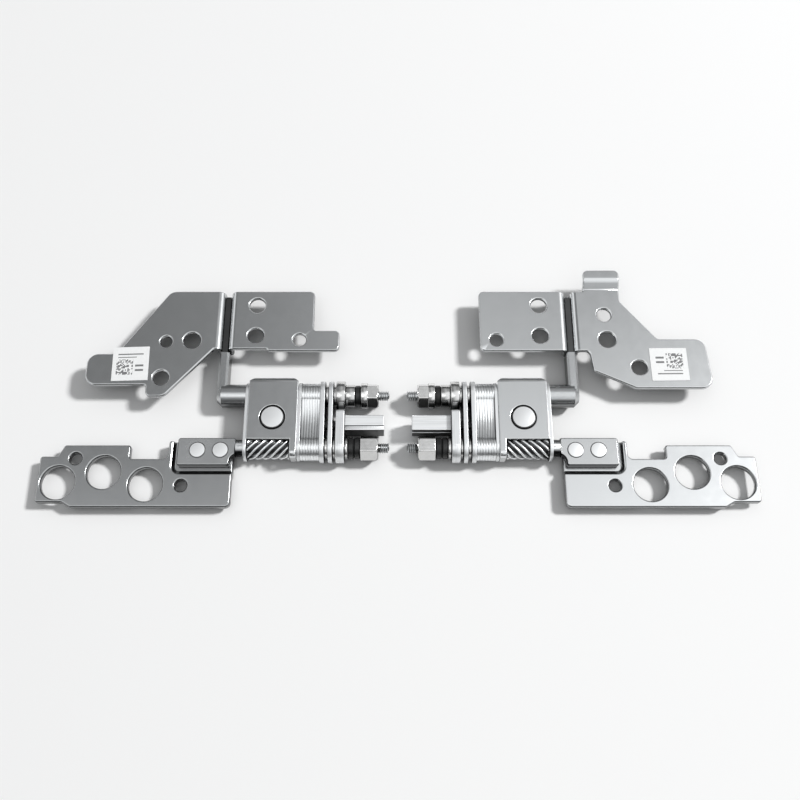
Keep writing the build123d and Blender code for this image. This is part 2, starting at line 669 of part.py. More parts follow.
def friction_plates():
    """Return the pack of waisted plates that grip both shafts, as one piece with seams in its flats."""
    section = Rectangle(2 * HALF_SPREAD, 2 * FRICTION_WAIST) + twin_bores(FRICTION_R)
    section -= twin_bores(SHAFT_R + RUN_CLEARANCE)
    pack = along_x(section, FRICTION_X, INNER_END_X - FRICTION_X)
    flat_length = 2 * (HALF_SPREAD - math.sqrt(FRICTION_R**2 - FRICTION_WAIST**2))
    for index in range(1, FRICTION_COUNT):
        for side in (-1, 1):
            seam = Box(SEAM_WIDTH, flat_length, 2 * SEAM_DEPTH)
            pack -= Pos(FRICTION_X + index * FRICTION_PITCH, 0, side * FRICTION_WAIST) * seam
    return Pos(0, 0, AXIS_Z) * pack



def tenon_hole():
    """Return the square hole for the stop block's tenon, as a section."""
    return Pos(BLOCK_OFFSET, 0) * Rectangle(TENON_SIDE, TENON_SIDE)


def link_plate(start, thickness):
    """Return a link plate that holds both shafts at their spacing."""
    section = SlotCenterToCenter(2 * HALF_SPREAD, 2 * LINK_R)
    section -= twin_bores(SHAFT_R + RUN_CLEARANCE) + tenon_hole()
    return Pos(0, 0, AXIS_Z) * along_x(section, start, thickness)


def stop_plate():
    """Return the thick plate on the base shaft that carries the stop block."""
    middle = (STOP_PLATE_TOP - HALF_SPREAD) / 2
    bar = Pos(middle, 0) * Rectangle(STOP_PLATE_TOP + HALF_SPREAD, 2 * LINK_R)
    bar = fillet(bar.vertices().sort_by(Axis.X)[-2:], STOP_PLATE_CORNER)
    section = bar + Pos(-HALF_SPREAD, 0) * Circle(LINK_R)
    section -= Pos(-HALF_SPREAD, 0) * Circle(SHAFT_R + RUN_CLEARANCE)
    section -= tenon_hole()
    return Pos(0, 0, AXIS_Z) * along_x(section, STOP_X, STOP_T)


def stop_block(groove_on_top):
    """Return the stop block, with a groove in its top or front face and a tenon through the link plates."""
    section = Rectangle(BLOCK_DEPTH, 2 * BLOCK_HALF_HEIGHT)
    section = chamfer(section.vertices(), BLOCK_CHAMFER)
    front = -BLOCK_DEPTH / 2
    if groove_on_top:
        groove = Pos(front + BLOCK_GROOVE_INSET, BLOCK_HALF_HEIGHT)
        groove *= Rectangle(BLOCK_GROOVE, 2 * BLOCK_GROOVE_DEPTH)
    else:
        groove = Pos(front, BLOCK_HALF_HEIGHT - 2 * BLOCK_GROOVE_INSET)
        groove *= Rectangle(2 * BLOCK_GROOVE_DEPTH, BLOCK_GROOVE)
    section = Pos(BLOCK_OFFSET, 0) * (section - groove)
    block = along_x(section, STOP_X - BLOCK_LENGTH, BLOCK_LENGTH)
    tenon = along_x(tenon_hole(), STOP_X, FRICTION_X - STOP_X)
    return Pos(0, 0, AXIS_Z) * (block + tenon)



def keyed_ring(radius, start, end):
    """Return a ring with a keyed hole between two stations."""
    return along_x(Circle(radius) - keyed_section(), start, end - start)


def washers(side):
    """Return the two keyed washers that a shaft turns between the link plates."""
    inner = keyed_ring(WASHER_R, INNER_WASHER_X + AXIAL_PLAY, LINK_B_X - AXIAL_PLAY)
    outer = keyed_ring(WASHER_R, OUTER_WASHER_X + AXIAL_PLAY, LINK_A_X - AXIAL_PLAY)
    return Compound([on_axis(inner, side), on_axis(outer, side)])


def lid_collar():
    """Return the stop collar keyed to the lid shaft, in line with the stop plate."""
    return on_axis(keyed_ring(COLLAR_R, STOP_X, INNER_WASHER_X), 1)


def spacer(side, spring_pairs):
    """Return the keyed spacer between the springs and the plates."""
    start = PRELOAD_X + spring_pairs * SPRING_PAIR
    return on_axis(keyed_ring(SPACER_R, start, STOP_X - AXIAL_PLAY), side)


def disc_springs(side, pairs):
    """Return a shaft's stack of disc springs, in pairs that touch at their rims."""
    root_r = SHAFT_R + SPRING_ROOT
    points = [(PRELOAD_X, SHAFT_R)]
    for index in range(pairs):
        start = PRELOAD_X + index * SPRING_PAIR
        points.append((start, root_r))
        points.append((start + SPRING_CONE, SPRING_R))
        points.append((start + SPRING_PAIR - SPRING_CONE, SPRING_R))
    end = PRELOAD_X + pairs * SPRING_PAIR
    points.append((end, root_r))
    points.append((end, SHAFT_R))
    return on_axis(revolve(Polygon(*points, align=None), Axis.X), side)



def hex_bar(start, end):
    """Return a hexagonal nut blank with its free end chamfered."""
    hexagon = RegularPolygon(NUT_FLATS / 2, 6, major_radius=False)
    blank = along_x(hexagon, start, end - start)
    corner_r = NUT_FLATS / math.sqrt(3)
    round_bar = rod(corner_r, start, end)
    return blank & chamfer(round_bar.faces().sort_by(Axis.X)[0].edges(), NUT_CHAMFER)


def base_nut():
    """Return the plain hexagonal nut on the base shaft."""
    return on_axis(hex_bar(NUT_X, PRELOAD_X) - rod(THREAD_R, NUT_X, PRELOAD_X), -1)


def lid_nut():
    """Return the flanged nut on the lid shaft."""
    flange = rod(NUT_FLANGE_R, PRELOAD_X - NUT_FLANGE_LENGTH, PRELOAD_X)
    body = hex_bar(NUT_X, PRELOAD_X) + flange
    return on_axis(body - rod(THREAD_R, NUT_X, PRELOAD_X), 1)


def hinge_pieces(lid_bracket, label_place, groove_on_top):
    """Return one hinge's pieces by name, drawn for the +X side."""
    return {
        "base_bracket": base_bracket(),
        "base_shaft": base_shaft(),
        "base_rivets": base_rivets(),
        "base_washers": washers(-1),
        "base_spacer": spacer(-1, BASE_SPRING_PAIRS),
        "base_springs": disc_springs(-1, BASE_SPRING_PAIRS),
        "base_nut": base_nut(),
        "gear_cover": gear_cover(),
        "outer_end_plate": end_plate(OUTER_END_X),
        "inner_end_plate": end_plate(INNER_END_X),
        "idler_axle": idler_axle(),
        "idler_gear": idler_gear(),
        "friction_plates": friction_plates(),
        "link_plate_a": link_plate(LINK_A_X, LINK_A_T),
        "link_plate_b": link_plate(LINK_B_X, LINK_B_T),
        "stop_plate": stop_plate(),
        "stop_block": stop_block(groove_on_top),
        "lid_shaft": lid_shaft(),
        "lid_washers": washers(1),
        "lid_collar": lid_collar(),
        "lid_spacer": spacer(1, LID_SPRING_PAIRS),
        "lid_springs": disc_springs(1, LID_SPRING_PAIRS),
        "lid_nut": lid_nut(),
        "lid_bracket": lid_bracket,
        "lid_label": lid_label(label_place),
    }


def write_piece(name, piece):
    """Move a piece to the frame's origin, solid by solid, and write it."""
    solids = [Pos(0, -FRAME_Y, 0) * solid for solid in piece.solids()]
    export_step(Compound(solids), f"parts/{name}.step")


def main():
    """Build both hinges and write each piece."""
    os.makedirs("parts", exist_ok=True)
    for name, piece in hinge_pieces(right_lid_bracket(), RIGHT_LABEL, False).items():
        write_piece(f"right_{name}", piece)
    left_label = (*LEFT_LABEL[:4], -LEFT_LABEL[4])
    for name, piece in hinge_pieces(left_lid_bracket(), left_label, True).items():
        write_piece(f"left_{name}", mirror(piece, about=Plane.YZ))


main()
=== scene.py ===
"""Looks of a mirrored pair of dual-shaft laptop hinges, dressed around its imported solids."""

from __future__ import annotations

import logging
import math
from dataclasses import dataclass, field
from enum import Enum
from typing import Protocol

import bpy
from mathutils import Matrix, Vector

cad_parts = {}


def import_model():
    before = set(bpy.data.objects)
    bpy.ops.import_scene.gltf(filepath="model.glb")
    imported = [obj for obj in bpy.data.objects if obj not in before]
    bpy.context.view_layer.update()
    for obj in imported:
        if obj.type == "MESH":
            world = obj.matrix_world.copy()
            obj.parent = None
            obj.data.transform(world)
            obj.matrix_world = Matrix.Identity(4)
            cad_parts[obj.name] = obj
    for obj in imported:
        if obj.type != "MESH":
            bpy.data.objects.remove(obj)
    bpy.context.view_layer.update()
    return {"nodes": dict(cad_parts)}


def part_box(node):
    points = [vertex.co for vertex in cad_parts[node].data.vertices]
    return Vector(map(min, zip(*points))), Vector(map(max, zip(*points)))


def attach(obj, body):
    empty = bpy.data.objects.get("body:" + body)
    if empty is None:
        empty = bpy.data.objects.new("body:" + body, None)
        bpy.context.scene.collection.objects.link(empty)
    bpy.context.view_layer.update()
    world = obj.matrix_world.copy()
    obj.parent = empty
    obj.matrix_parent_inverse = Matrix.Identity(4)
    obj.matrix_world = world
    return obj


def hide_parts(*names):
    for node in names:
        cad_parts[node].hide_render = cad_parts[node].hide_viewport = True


LOG = logging.getLogger("hinge_pair")
MM = 0.001

Colour = tuple[float, float, float]
Point = tuple[float, float, float]
Pair = tuple[float, float]
Socket = bpy.types.NodeSocket

NO_SHIFT: Point = (0.0, 0.0, 0.0)
FULL_SCALE: Point = (1.0, 1.0, 1.0)
GRIT_SCALE: Point = (15000.0, 15000.0, 15000.0)
SMOOTH_ANGLE = math.radians(35.0)

# Plain bars on a label, each by its middle and its half sizes
LABEL_BARS: tuple[tuple[Pair, Pair], ...] = (
    ((1.35 * MM, -1.10 * MM), (0.62 * MM, 0.16 * MM)),
    ((1.35 * MM, -0.35 * MM), (0.62 * MM, 0.16 * MM)),
    ((0.0, 1.55 * MM), (1.9 * MM, 0.10 * MM)),
    ((-0.5 * MM, 1.05 * MM), (1.4 * MM, 0.07 * MM)),
)


class Side(Enum):
    """The two hinges, with the sign of their X."""

    LEFT = -1
    RIGHT = 1

    @property
    def prefix(self) -> str:
        """Return the start of this hinge's node names."""
        return f"{self.name.lower()}_"


class Shaft(Enum):
    """The two shafts of a hinge, with the sign of their Y from its middle."""

    BASE = -1
    LID = 1


class Grain(Enum):
    """Direction of the fine lines that rolling, brushing or turning leaves."""

    ALONG_X = (90.0, 5200.0, 5200.0)
    ALONG_Y = (5200.0, 90.0, 5200.0)
    ACROSS_X = (6500.0, 160.0, 160.0)
    NONE = (900.0, 900.0, 900.0)


class Nodes:
    """Short ways to build a shader node tree."""

    def __init__(self, tree: bpy.types.NodeTree) -> None:
        """Take over an empty tree.

        Args:
            tree: the node tree, which is cleared.
        """
        self.tree = tree
        self.tree.nodes.clear()
        self.coords = self.add("ShaderNodeTexCoord")

    def add(self, kind: str) -> bpy.types.Node:
        """Return a new node of a kind."""
        return self.tree.nodes.new(kind)

    def link(self, source: Socket, target: Socket) -> None:
        """Join two sockets."""
        self.tree.links.new(source, target)

    def math(self, operation: str, first: Socket | float, second: Socket | float = 0.0) -> Socket:
        """Return the result of an operation on two sockets or numbers.

        Args:
            operation: Blender's name of the operation.
            first: socket or number.
            second: socket or number.

        Returns:
            The value socket.
        """
        node = self.add("ShaderNodeMath")
        node.operation = operation
        for index, value in enumerate((first, second)):
            if isinstance(value, Socket):
                self.link(value, node.inputs[index])
            else:
                node.inputs[index].default_value = value
        return node.outputs["Value"]

    def split(self, vector: Socket) -> tuple[Socket, ...]:
        """Return the three parts of a vector."""
        node = self.add("ShaderNodeSeparateXYZ")
        self.link(vector, node.inputs["Vector"])
        return tuple(node.outputs[axis] for axis in "XYZ")

    def ramp(self, value: Socket, stops: list[tuple[float, Colour]]) -> Socket:
        """Return a colour from a value.

        Args:
            value: what is looked up.
            stops: positions with their colours, in order.

        Returns:
            The colour socket.
        """
        node = self.add("ShaderNodeValToRGB")
        ramp = node.color_ramp
        while len(ramp.elements) < len(stops):
            ramp.elements.new(1.0)
        for element, (position, colour) in zip(ramp.elements, stops):
            element.position = position
            element.color = (*colour, 1.0)
        self.link(value, node.inputs["Fac"])
        return node.outputs["Color"]

    def mix(
        self, share: Socket | float, first: Socket | Colour, second: Socket | Colour, blend: str = "MIX"
    ) -> Socket:
        """Return two colours mixed.

        Args:
            share: weight of the second, a socket or number.
            first: colour or socket.
            second: colour or socket.
            blend: Blender's blend type.

        Returns:
            The colour socket.
        """
        node = self.add("ShaderNodeMix")
        node.data_type = "RGBA"
        node.blend_type = blend
        for index, value in ((0, share), (6, first), (7, second)):
            if isinstance(value, Socket):
                self.link(value, node.inputs[index])
            elif index:
                node.inputs[index].default_value = (*value, 1.0)
            else:
                node.inputs[index].default_value = value
        return node.outputs[2]

    def span(self, value: Socket, low: float, high: float) -> Socket:
        """Return a value of 0 to 1 stretched between two limits."""
        return self.math("ADD", self.math("MULTIPLY", value, high - low), low)

    def rise(self, value: Socket, low: float, high: float) -> Socket:
        """Return 0 below a limit and 1 above another, with a smooth rise between them."""
        node = self.add("ShaderNodeMapRange")
        node.interpolation_type = "SMOOTHSTEP"
        node.inputs["From Min"].default_value = low
        node.inputs["From Max"].default_value = high
        self.link(value, node.inputs["Value"])
        return node.outputs["Result"]


class Graph(Nodes):
    """A material around one Principled shader, built from the object's own coordinates."""

    def __init__(self, name: str) -> None:
        """Start a node material.

        Args:
            name: the material's name.
        """
        self.material = bpy.data.materials.new(name)
        self.material.use_nodes = True
        super().__init__(self.material.node_tree)
        self.output = self.add("ShaderNodeOutputMaterial")
        self.shader = self.add("ShaderNodeBsdfPrincipled")
        self.link(self.shader.outputs["BSDF"], self.output.inputs["Surface"])

    def place(self, scale: Point, shift: Point = NO_SHIFT, turn: float = 0.0) -> Socket:
        """Return scaled object coordinates.

        Args:
            scale: factors along X, Y and Z.
            shift: offset in metres, added before the scale.
            turn: turn about Z in radians, made before the scale.

        Returns:
            The vector socket.
        """
        move = self.add("ShaderNodeMapping")
        move.inputs["Location"].default_value = shift
        self.link(self.coords.outputs["Object"], move.inputs["Vector"])
        if turn:
            spin = self.add("ShaderNodeMapping")
            spin.inputs["Rotation"].default_value = (0.0, 0.0, turn)
            self.link(move.outputs["Vector"], spin.inputs["Vector"])
            move = spin
        stretch = self.add("ShaderNodeMapping")
        stretch.inputs["Scale"].default_value = scale
        self.link(move.outputs["Vector"], stretch.inputs["Vector"])
        return stretch.outputs["Vector"]

    def noise(self, vector: Socket, detail: float = 3.0, roughness: float = 0.55) -> Socket:
        """Return noise of unit scale on a vector.

        Args:
            vector: where it is read.
            detail: octaves.
            roughness: weight of the finer octaves.

        Returns:
            The value socket.
        """
        node = self.add("ShaderNodeTexNoise")
        node.inputs["Scale"].default_value = 1.0
        node.inputs["Detail"].default_value = detail
        node.inputs["Roughness"].default_value = roughness
        self.link(vector, node.inputs["Vector"])
        return node.outputs["Fac"]

    def specks(self, vector: Socket) -> Socket:
        """Return the distance to the nearest of scattered points."""
        node = self.add("ShaderNodeTexVoronoi")
        node.inputs["Scale"].default_value = 1.0
        self.link(vector, node.inputs["Vector"])
        return node.outputs["Distance"]

    def cells(self, vector: Socket) -> Socket:
        """Return one random value for each unit cell of a vector."""
        floor = self.add("ShaderNodeVectorMath")
        floor.operation = "FLOOR"
        self.link(vector, floor.inputs[0])
        node = self.add("ShaderNodeTexWhiteNoise")
        node.noise_dimensions = "3D"
        self.link(floor.outputs["Vector"], node.inputs["Vector"])
        return node.outputs["Value"]

    def facing(self, axis: str) -> Socket:
        """Return how far a face looks along an axis, either way: 1 square to it, 0 along it."""
        parts = dict(zip("XYZ", self.split(self.coords.outputs["Normal"])))
        return self.math("ABSOLUTE", parts[axis])

    def radius_from(self, centre: Point, across: str) -> Socket:
        """Return the distance from an axis, in metres.

        Args:
            centre: a point on the axis.
            across: the two coordinates square to the axis, such as "YZ".

        Returns:
            The value socket.
        """
        parts = dict(zip("XYZ", self.split(self.place(FULL_SCALE, tuple(-c for c in centre)))))
        squares = [self.math("POWER", parts[axis], 2.0) for axis in across]
        return self.math("SQRT", self.math("ADD", *squares))

    def bump(self, height: Socket, depth: float, strength: float = 1.0) -> None:
        """Set the surface relief.

        Args:
            height: relief of 0 to 1.
            depth: its depth in metres.
            strength: how much of it shows.
        """
        node = self.add("ShaderNodeBump")
        node.inputs["Distance"].default_value = depth
        node.inputs["Strength"].default_value = strength
        self.link(height, node.inputs["Height"])
        self.link(node.outputs["Normal"], self.shader.inputs["Normal"])

    def colour(self, socket: Socket) -> None:
        """Set the surface colour."""
        self.link(socket, self.shader.inputs["Base Color"])

    def rough(self, socket: Socket) -> None:
        """Set the surface roughness."""
        self.link(socket, self.shader.inputs["Roughness"])

    def metal(self, amount: float) -> None:
        """Set how metallic the whole surface is."""
        self.shader.inputs["Metallic"].default_value = amount


def grey(tone: float) -> Colour:
    """Return a neutral steel tone, a little cool."""
    return (tone * 0.985, tone, tone * 1.01)


class Finish(Protocol):
    """Whatever can build a material."""

    def build(self) -> bpy.types.Material:
        """Return the material."""


@dataclass(frozen=True)
class SheetFinish:
    """Satin rolled steel sheet, with painted shade that darkens its walls and steep rounded edges."""

    name: str
    face: float
    wall_shade: float = 0.6
    wall_to: float = 0.35
    roughness: float = 0.2
    grain: Grain = Grain.ALONG_X
    wall_blend: float = 0.3
    relief: float = 0.004 * MM

    def build(self) -> bpy.types.Material:
        """Return the material."""
        g = Graph(self.name)
        g.metal(1.0)
        lines = g.noise(g.place(self.grain.value), 2.0)
        cloud = g.noise(g.place((140.0, 140.0, 140.0)), 4.0)
        smear = g.noise(g.place((900.0, 650.0, 900.0)), 5.0, 0.7)
        # Painted shade: faces that tilt away from straight up, the walls and rounded edges, get a darker
        # tone.
        shaded_walls = g.rise(g.facing("Z"), self.wall_to - self.wall_blend, self.wall_to)
        tone = g.mix(shaded_walls, grey(self.face * self.wall_shade), grey(self.face))
        tone = g.mix(g.span(cloud, 0.0, 0.16), tone, grey(0.72), "MULTIPLY")
        tone = g.mix(g.span(lines, 0.0, 0.12), tone, grey(0.7), "MULTIPLY")
        g.colour(tone)
        g.rough(g.span(smear, self.roughness - 0.05, self.roughness + 0.07))
        height = g.math("ADD", g.math("MULTIPLY", lines, 0.6), g.math("MULTIPLY", smear, 0.4))
        g.bump(height, self.relief, 0.22)
        return g.material


@dataclass(frozen=True)
class ForgedFinish:
    """Forged steel with a fine shot-blasted grain, with painted shade on its undersides and behind a line,
    where it runs into the bracket's fold.
    """

    name: str
    tone: float
    shaded_from: float
    roughness: float = 0.22
    shade_share: float = 0.2
    relief: float = 0.004 * MM

    def build(self) -> bpy.types.Material:
        """Return the material."""
        g = Graph(self.name)
        g.metal(1.0)
        grit = g.specks(g.place(GRIT_SCALE))
        patch = g.noise(g.place((420.0, 420.0, 420.0)), 4.0, 0.65)
        tone = g.ramp(grit, [
            (0.05, grey(self.tone * 0.8)),
            (0.45, grey(self.tone)),
            (0.8, grey(self.tone * 1.15)),
        ])
        tone = g.mix(g.span(patch, 0.0, 0.4), tone, grey(0.62), "MULTIPLY")
        # Painted shade: faces that look down, and the part behind the fold's front, get a much darker tone.
        _, back, _ = g.split(g.coords.outputs["Object"])
        _, _, up = g.split(g.coords.outputs["Normal"])
        under = g.math("SUBTRACT", 1.0, g.rise(up, 0.1, 0.6))
        darkened = g.math("MAXIMUM", under, g.math("GREATER_THAN", back, self.shaded_from))
        g.colour(g.mix(darkened, tone, grey(self.tone * self.shade_share)))
        g.rough(g.span(patch, self.roughness - 0.06, self.roughness + 0.1))
        g.bump(grit, self.relief, 0.2)
        return g.material


@dataclass(frozen=True)
class PlatedFinish:
    """Plated steel, blanked, milled or peened, with fine lines and light handling marks."""

    name: str
    tone: float
    metal: float = 1.0
    roughness: float = 0.2
    grain: Grain = Grain.ALONG_Y
    line_depth: float = 0.4
    shaded_axis: str = ""
    dark_from: float = 1.0
    darkened_tone: float = 0.06
    relief: float = 0.010 * MM

    def build(self) -> bpy.types.Material:
        """Return the material, with painted shade on the faces that look along a given axis, and darker
        beyond a distance from the pair's middle.
        """
        g = Graph(self.name)
        g.metal(self.metal)
        lines = g.noise(g.place(self.grain.value), 2.0, 0.6)
        marks = g.noise(g.place((1300.0, 900.0, 1300.0)), 5.0, 0.7)
        tone = g.ramp(lines, [(0.28, grey(self.tone * 0.82)), (0.52, grey(self.tone))])
        tone = g.mix(g.span(marks, 0.0, 0.22), tone, grey(0.78), "MULTIPLY")
        along, _, _ = g.split(g.coords.outputs["Object"])
        darkened = g.math("GREATER_THAN", g.math("ABSOLUTE", along), self.dark_from)
        # Painted shade: faces square to the given axis turn near black.
        if self.shaded_axis:
            darkened = g.math("MAXIMUM", darkened, g.rise(g.facing(self.shaded_axis), 0.55, 0.8))
        g.colour(g.mix(darkened, tone, grey(self.darkened_tone)))
        g.rough(g.span(marks, self.roughness - 0.05, self.roughness + 0.12))
        g.bump(lines, self.relief, self.line_depth)
        return g.material


@dataclass(frozen=True)
class TurnedFinish:
    """Turned nickel with fine rings round a shaft, and painted shade where it looks down."""

    name: str
    tone: float
    axis: Point
    tint: Colour = (1.0, 0.995, 0.985)
    roughness: float = 0.15
    ring_rate: float = 46000.0
    shade_share: float = 0.28
    relief: float = 0.008 * MM

    def build(self) -> bpy.types.Material:
        """Return the material."""
        g = Graph(self.name)
        g.metal(1.0)
        distance = g.radius_from(self.axis, "YZ")
        rings = g.math("SINE", g.math("MULTIPLY", distance, self.ring_rate))
        rings = g.span(rings, 0.5, 1.0)
        marks = g.noise(g.place((1100.0, 1100.0, 1100.0)), 5.0, 0.68)
        bright = tuple(self.tone * part for part in self.tint)
        dull = tuple(self.tone * 0.86 * part for part in self.tint)
        tone = g.ramp(marks, [(0.30, dull), (0.60, bright)])
        _, _, up = g.split(g.coords.outputs["Normal"])
        # Painted shade: faces that look down get a dark tone.
        facing_up = g.rise(up, 0.2, 0.7)
        g.colour(g.mix(facing_up, grey(self.tone * self.shade_share), tone))
        g.rough(g.span(marks, self.roughness - 0.04, self.roughness + 0.06))
        g.bump(rings, self.relief, 0.25)
        return g.material


@dataclass(frozen=True)
class ToothFinish:
    """Cut gear steel, with painted shade deep in the tooth roots that lightens to bright tooth tops; plain
    satin steel beyond the teeth, with painted shade on its steep faces.
    """

    name: str
    axis: Point
    across: str
    root_r: float
    tip_r: float
    toothed_to: float = 1.0
    body: float = 0.36
    plain: float = 0.66
    shade_share: float = 0.03
    relief: float = 0.008 * MM

    def build(self) -> bpy.types.Material:
        """Return the material."""
        g = Graph(self.name)
        g.metal(1.0)
        distance = g.radius_from(self.axis, self.across)
        depth = self.tip_r - self.root_r
        height = g.math("DIVIDE", g.math("SUBTRACT", distance, self.root_r), depth)
        # Painted shade: the tone runs from near black in the roots up to bright tooth tops.
        tops = g.ramp(height, [
            (0.05, grey(self.body * 0.16)),
            (0.40, grey(self.body)),
            (0.75, grey(0.70)),
            (0.99, grey(0.90)),
        ])
        along, _, _ = g.split(g.coords.outputs["Object"])
        beyond = g.math("GREATER_THAN", g.math("ABSOLUTE", along), self.toothed_to)
        grit = g.specks(g.place(GRIT_SCALE))
        patch = g.noise(g.place((500.0, 500.0, 500.0)), 4.0, 0.65)
        # Painted shade: beyond the teeth, steep faces get a near black tone.
        darkened = grey(self.plain * self.shade_share)
        plain = g.mix(g.rise(g.facing("Z"), 0.7, 0.96), darkened, grey(self.plain))
        tone = g.mix(beyond, tops, plain)
        tone = g.mix(g.span(patch, 0.0, 0.25), tone, grey(0.7), "MULTIPLY")
        g.colour(tone)
        g.rough(g.span(patch, 0.16, 0.34))
        g.bump(grit, self.relief, 0.2)
        return g.material


@dataclass(frozen=True)
class PeenedFinish:
    """Ground rivet steel, bright on its flat top and near black round it."""

    name: str
    tone: float
    metal: float = 0.35
    roughness: float = 0.34
    flat_from: float = 0.985
    darkened_tone: float = 0.05
    relief: float = 0.006 * MM

    def build(self) -> bpy.types.Material:
        """Return the material."""
        g = Graph(self.name)
        g.metal(self.metal)
        marks = g.noise(g.place((1300.0, 1300.0, 1300.0)), 5.0, 0.7)
        flat = g.math("GREATER_THAN", g.facing("Z"), self.flat_from)
        bright = g.mix(g.span(marks, 0.0, 0.2), grey(self.tone), grey(self.tone * 0.8))
        g.colour(g.mix(flat, grey(self.darkened_tone), bright))
        g.rough(g.span(marks, self.roughness - 0.06, self.roughness + 0.1))
        g.bump(marks, self.relief, 0.2)
        return g.material


@dataclass(frozen=True)
class BlackFinish:
    """Blackened spring steel with a thin oil film."""

    name: str
    tone: float = 0.018
    metal: float = 0.35
    relief: float = 0.006 * MM

    def build(self) -> bpy.types.Material:
        """Return the material."""
        g = Graph(self.name)
        g.metal(self.metal)
        worn = g.noise(g.place((1500.0, 1500.0, 1500.0)), 5.0, 0.7)
        tone = g.ramp(worn, [
            (0.35, grey(self.tone)),
            (0.62, grey(self.tone * 1.8)),
            (0.75, grey(self.tone * 5.0)),
        ])
        g.colour(tone)
        g.rough(g.span(worn, 0.24, 0.46))
        g.bump(worn, self.relief, 0.3)
        return g.material


@dataclass(frozen=True)
class PaperFinish:
    """White label paper with a block of plain dark cells and a few plain bars."""

    name: str
    centre: Point
    turn: float
    cell: float = 0.19 * MM
    half_block: float = 1.25 * MM
    block_shift: Pair = (-0.85 * MM, -0.55 * MM)
    dots_from: float = 0.48
    ink_share: float = 0.82
    relief: float = 0.01 * MM

    @property
    def shift(self) -> Point:
        """Return the offset that puts the label's middle at 0."""
        x, y, z = self.centre
        return (-x, -y, -z)

    def inside(self, g: Graph, value: Socket, half: float) -> Socket:
        """Return 1 where a coordinate lies within a half width of 0."""
        return g.math("LESS_THAN", g.math("ABSOLUTE", value), half)

    def bar(self, g: Graph, centre: Pair, half: Pair) -> Socket:
        """Return the mask of a plain rectangle on the label.

        Args:
            g: the material's graph.
            centre: its middle on the label.
            half: its half sizes.

        Returns:
            The value socket.
        """
        across, along, _ = g.split(g.place(FULL_SCALE, self.shift, -self.turn))
        wide = self.inside(g, g.math("SUBTRACT", across, centre[0]), half[0])
        deep = self.inside(g, g.math("SUBTRACT", along, centre[1]), half[1])
        return g.math("MULTIPLY", wide, deep)

    def build(self) -> bpy.types.Material:
        """Return the material."""
        g = Graph(self.name)
        count = 1.0 / self.cell
        cells = g.cells(g.place((count, count, 0.0), self.shift, -self.turn))
        dots = g.math("GREATER_THAN", cells, self.dots_from)
        block = self.bar(g, self.block_shift, (self.half_block, self.half_block))
        marks = g.math("MULTIPLY", dots, block)
        for centre, half in LABEL_BARS:
            marks = g.math("MAXIMUM", marks, self.bar(g, centre, half))
        fibre = g.noise(g.place((3200.0, 3200.0, 3200.0)), 6.0, 0.7)
        paper = g.ramp(fibre, [(0.3, (0.86, 0.87, 0.87)), (0.7, (0.94, 0.945, 0.945))])
        ink = g.mix(g.math("MULTIPLY", marks, self.ink_share), paper, (0.03, 0.03, 0.035))
        g.colour(ink)
        g.rough(g.span(fibre, 0.5, 0.7))
        g.bump(fibre, self.relief, 0.3)
        return g.material


@dataclass(frozen=True)
class FloorFinish:
    """Plain white table top."""

    name: str = "table_white"
    tone: float = 0.93
    unseen: float = 0.08
    roughness: float = 0.75
    gloss: float = 0.15

    def build(self) -> bpy.types.Material:
        """Return the material, darker for light that has been scattered before."""
        g = Graph(self.name)
        cloud = g.noise(g.place((6.0, 6.0, 6.0)), 2.0)
        white = g.ramp(cloud, [
            (0.2, (self.tone * 0.99,) * 3),
            (0.8, (self.tone, self.tone, self.tone * 0.995)),
        ])
        # Painted shade: light that has already bounced finds the table near black, which deepens the shade
        # under the parts.
        rays = g.add("ShaderNodeLightPath")
        scattered = g.math("GREATER_THAN", rays.outputs["Diffuse Depth"], 0.5)
        g.colour(g.mix(scattered, white, grey(self.unseen)))
        g.shader.inputs["Roughness"].default_value = self.roughness
        g.shader.inputs["Specular IOR Level"].default_value = self.gloss
        return g.material


def clear_selection() -> None:
    """Leave edit mode and deselect every object."""
    if bpy.context.object is not None and bpy.context.object.mode != "OBJECT":
        bpy.ops.object.mode_set(mode="OBJECT")
    bpy.ops.object.select_all(action="DESELECT")


def settle(obj: bpy.types.Object, name: str, material: bpy.types.Material) -> bpy.types.Object:
    """Name a finished piece, put its place into its mesh and give it its material.

    Args:
        obj: the piece.
        name: its name.
        material: its finish.

    Returns:
        The same piece.
    """
    clear_selection()
    obj.select_set(True)
    bpy.context.view_layer.objects.active = obj
    bpy.ops.object.transform_apply(location=True, rotation=True, scale=True)
    bpy.ops.object.shade_smooth_by_angle(angle=SMOOTH_ANGLE)
    obj.name = name
    obj.data.name = name
    obj.data.materials.clear()
    obj.data.materials.append(material)
    return obj


@dataclass(frozen=True)
class EdgeBreak:
    """The small rounding that blanking, milling or tumbling leaves on a solid's sharp edges."""

    width: float
    segments: int = 2
    profile: float = 0.5
    harden: bool = False
    angle: float = SMOOTH_ANGLE
    weld_gap: float = 0.002 * MM
    flat_angle: float = math.radians(0.5)

    def apply(self, obj: bpy.types.Object) -> None:
        """Round a solid's edges with modifiers, its own mesh left as it is.

        Args:
            obj: the solid.
        """
        weld = obj.modifiers.new("weld", "WELD")
        weld.merge_threshold = self.weld_gap
        flat = obj.modifiers.new("flat", "DECIMATE")
        flat.decimate_type = "DISSOLVE"
        flat.angle_limit = self.flat_angle
        bevel = obj.modifiers.new("edge_break", "BEVEL")
        bevel.width = self.width
        bevel.segments = self.segments
        bevel.profile = self.profile
        bevel.limit_method = "ANGLE"
        bevel.angle_limit = self.angle
        bevel.use_clamp_overlap = False
        bevel.loop_slide = False
        bevel.harden_normals = self.harden
        if not self.harden:
            bevel.face_strength_mode = "FSTR_ALL"
            shade = obj.modifiers.new("shade", "WEIGHTED_NORMAL")
            shade.use_face_influence = True


